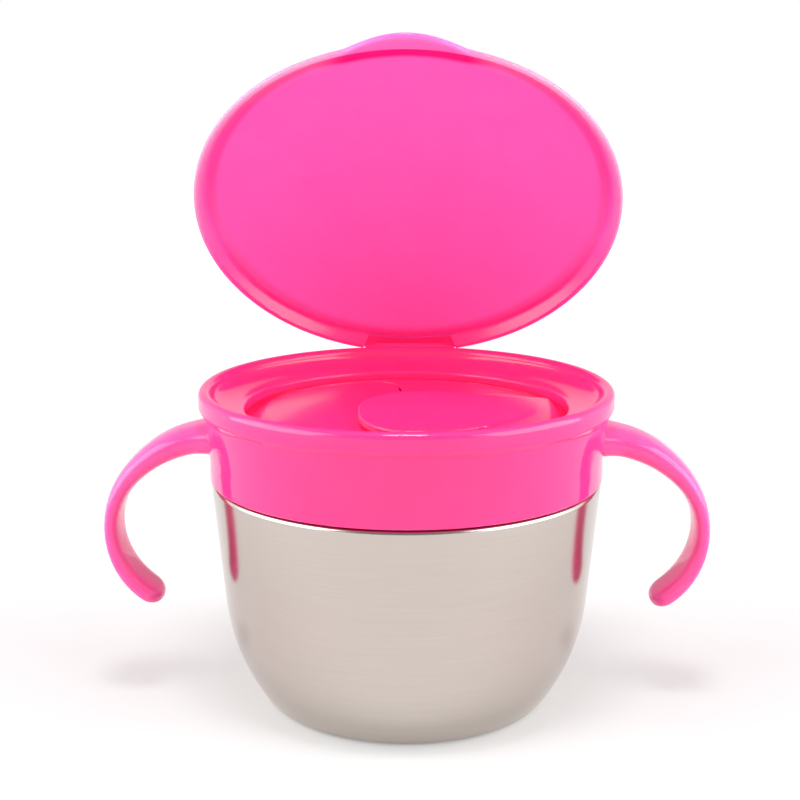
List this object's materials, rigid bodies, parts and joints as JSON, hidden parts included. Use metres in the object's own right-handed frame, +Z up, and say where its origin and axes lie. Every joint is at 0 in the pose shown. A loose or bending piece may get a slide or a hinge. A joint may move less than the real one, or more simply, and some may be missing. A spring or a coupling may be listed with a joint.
{
  "type": "toddler snack container",
  "caption": "Deep-drawn steel snack cup with a moulded collar, two open hook handles, a soft insert with overlapping flaps and a hinged lid with a thumb tab.",
  "frame": {"origin": "centre of the flat base, on the surface the cup stands on", "axes": "+Z up through the mouth, -Y towards the thumb tab at the front, +X towards the right handle"},
  "size_m": [0.134, 0.0939, 0.1452],
  "materials": {
    "steel": "satin drawn stainless steel",
    "pink_plastic": "glossy moulded polypropylene",
    "soft_pink": "soft thermoplastic elastomer, satin",
    "lid_plastic": "slightly translucent moulded polypropylene"
  },
  "bodies": {
    "cup": {"steel_cup": "steel"},
    "collar_part": {"collar": "pink_plastic", "left_handle": "pink_plastic", "right_handle": "pink_plastic", "flap_insert": "soft_pink", "collar_hinge_leaf": "pink_plastic"},
    "lid_part": {"lid": "lid_plastic", "thumb_tab": "lid_plastic", "lid_hinge_leaf": "lid_plastic"},
    "flap_low": {"lower_flap": "soft_pink"},
    "flap_high": {"upper_flap": "soft_pink"}
  },
  "joints": [
    {"name": "collar_lift", "type": "slide", "parent": "cup", "child": "collar_part", "axis": [0, 0, 1], "range_m": [0, 0.04]},
    {"name": "lid_hinge", "type": "hinge", "parent": "collar_part", "child": "lid_part", "pos_m": [0, 0.0475, 0.07], "axis": [-1, 0, 0], "range_deg": [-51.3, 75]},
    {"name": "upper_flap_bend", "type": "hinge", "parent": "collar_part", "child": "flap_high", "pos_m": [0.012, 0, 0.0655], "axis": [0, -1, 0], "range_deg": [0, 45], "stiffness_Nm_per_rad": 0.03},
    {"name": "lower_flap_bend", "type": "hinge", "parent": "collar_part", "child": "flap_low", "pos_m": [-0.026, 0, 0.0638], "axis": [0, 1, 0], "range_deg": [0, 63], "stiffness_Nm_per_rad": 0.03}
  ],
  "couplings": [
    {"joint": "lower_flap_bend", "follows": "upper_flap_bend", "ratio": 1.4}
  ]
}
